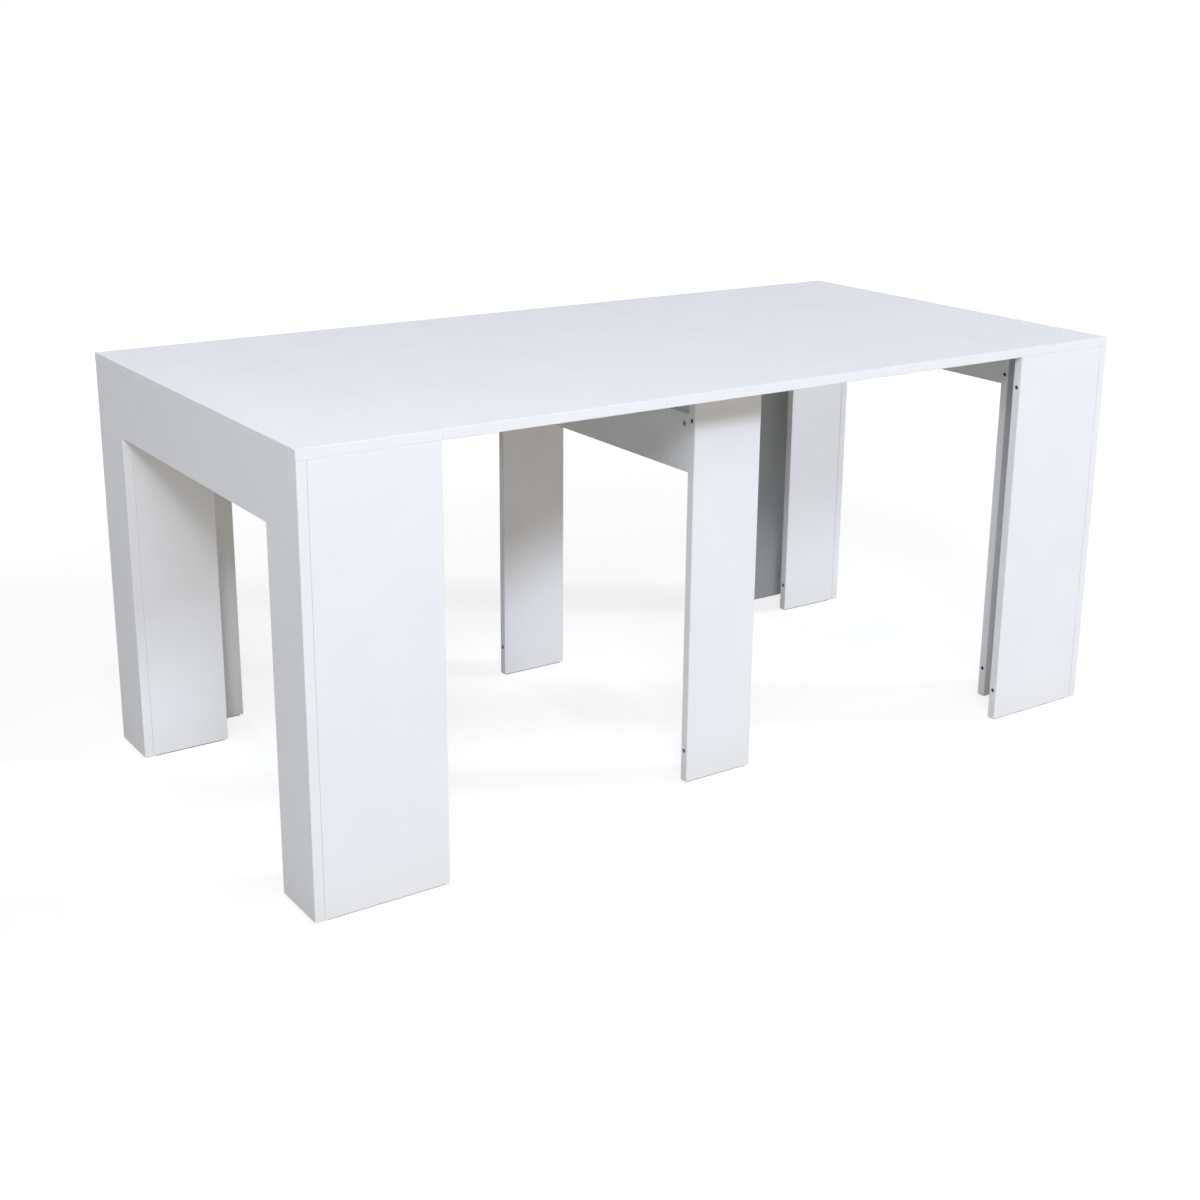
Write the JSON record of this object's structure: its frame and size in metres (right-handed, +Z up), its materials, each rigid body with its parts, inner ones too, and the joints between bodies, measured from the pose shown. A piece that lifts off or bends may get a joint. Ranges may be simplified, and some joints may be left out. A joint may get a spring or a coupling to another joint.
{
  "type": "extending console table",
  "caption": "White board console table drawn open on telescopic rails, with portal end units on hollow panel legs, a middle leg and lift-off leaves.",
  "frame": {"origin": "on the floor, under the middle of the open table", "axes": "+X along the table's length, +Y from the front edge to the back edge, +Z up"},
  "size_m": [1.8066, 0.9, 0.793],
  "materials": {
    "white_board": "white melamine on particle board, satin",
    "aluminium": "extruded, satin anodised",
    "zinc": "die-cast zinc",
    "steel": "zinc plated",
    "magnet": "dark nickel plate",
    "block_plastic": "moulded",
    "glide_plastic": "moulded",
    "beech": "turned, fluted",
    "pad_rubber": "matt"
  },
  "bodies": {
    "left_end": {"left_top": "white_board", "left_portal": "white_board", "left_front_outer_panel": "white_board", "left_front_inner_panel": "white_board", "left_back_outer_panel": "white_board", "left_back_inner_panel": "white_board", "left_corner_blocks": "block_plastic", "left_magnets": "magnet", "left_glides": "glide_plastic", "left_rail_brackets": "steel", "front_rail_1": "aluminium", "back_rail_1": "aluminium", "rail_stops_1": "steel"},
    "rail_stage_2": {"front_rail_2": "aluminium", "back_rail_2": "aluminium", "rail_stops_2": "steel"},
    "middle_leg": {"middle_left_cross_board": "white_board", "middle_right_cross_board": "white_board", "middle_front_panel": "white_board", "middle_back_panel": "white_board", "middle_cam_locks": "zinc", "middle_cam_bolts": "steel", "middle_dowels": "beech", "middle_magnets": "magnet", "middle_glides": "glide_plastic", "middle_rail_brackets": "steel", "front_rail_3": "aluminium", "back_rail_3": "aluminium", "rail_stops_3": "steel"},
    "rail_stage_4": {"front_rail_4": "aluminium", "back_rail_4": "aluminium", "rail_stops_4": "steel"},
    "right_end": {"right_top": "white_board", "right_portal": "white_board", "right_front_outer_panel": "white_board", "right_front_inner_panel": "white_board", "right_back_outer_panel": "white_board", "right_back_inner_panel": "white_board", "right_corner_blocks": "block_plastic", "right_magnets": "magnet", "right_glides": "glide_plastic", "right_rail_brackets": "steel", "front_rail_5": "aluminium", "back_rail_5": "aluminium", "rail_stops_5": "steel"},
    "left_leaf": {"leaf_1": "white_board", "leaf_1_pads": "pad_rubber"},
    "middle_leaf": {"leaf_2": "white_board", "leaf_2_pads": "pad_rubber"},
    "right_leaf": {"leaf_3": "white_board", "leaf_3_pads": "pad_rubber"}
  },
  "joints": [
    {"name": "stage_2_slide", "type": "slide", "parent": "left_end", "child": "rail_stage_2", "axis": [1, 0, 0], "range_m": [0, 0.034]},
    {"name": "middle_leg_slide", "type": "slide", "parent": "rail_stage_2", "child": "middle_leg", "axis": [1, 0, 0], "range_m": [0, 0.034]},
    {"name": "stage_4_slide", "type": "slide", "parent": "middle_leg", "child": "rail_stage_4", "axis": [1, 0, 0], "range_m": [0, 0.034]},
    {"name": "right_end_slide", "type": "slide", "parent": "rail_stage_4", "child": "right_end", "axis": [1, 0, 0], "range_m": [0, 0.034]},
    {"name": "left_leaf_lift", "type": "slide", "parent": "left_end", "child": "left_leaf", "axis": [0, 0, 1], "range_m": [0, 0.3]},
    {"name": "middle_leaf_lift", "type": "slide", "parent": "middle_leg", "child": "middle_leaf", "axis": [0, 0, 1], "range_m": [0, 0.3]},
    {"name": "right_leaf_lift", "type": "slide", "parent": "right_end", "child": "right_leaf", "axis": [0, 0, 1], "range_m": [0, 0.3]}
  ],
  "couplings": [
    {"joint": "stage_2_slide", "follows": "right_end_slide", "ratio": 1},
    {"joint": "middle_leg_slide", "follows": "right_end_slide", "ratio": 1},
    {"joint": "stage_4_slide", "follows": "right_end_slide", "ratio": 1}
  ]
}
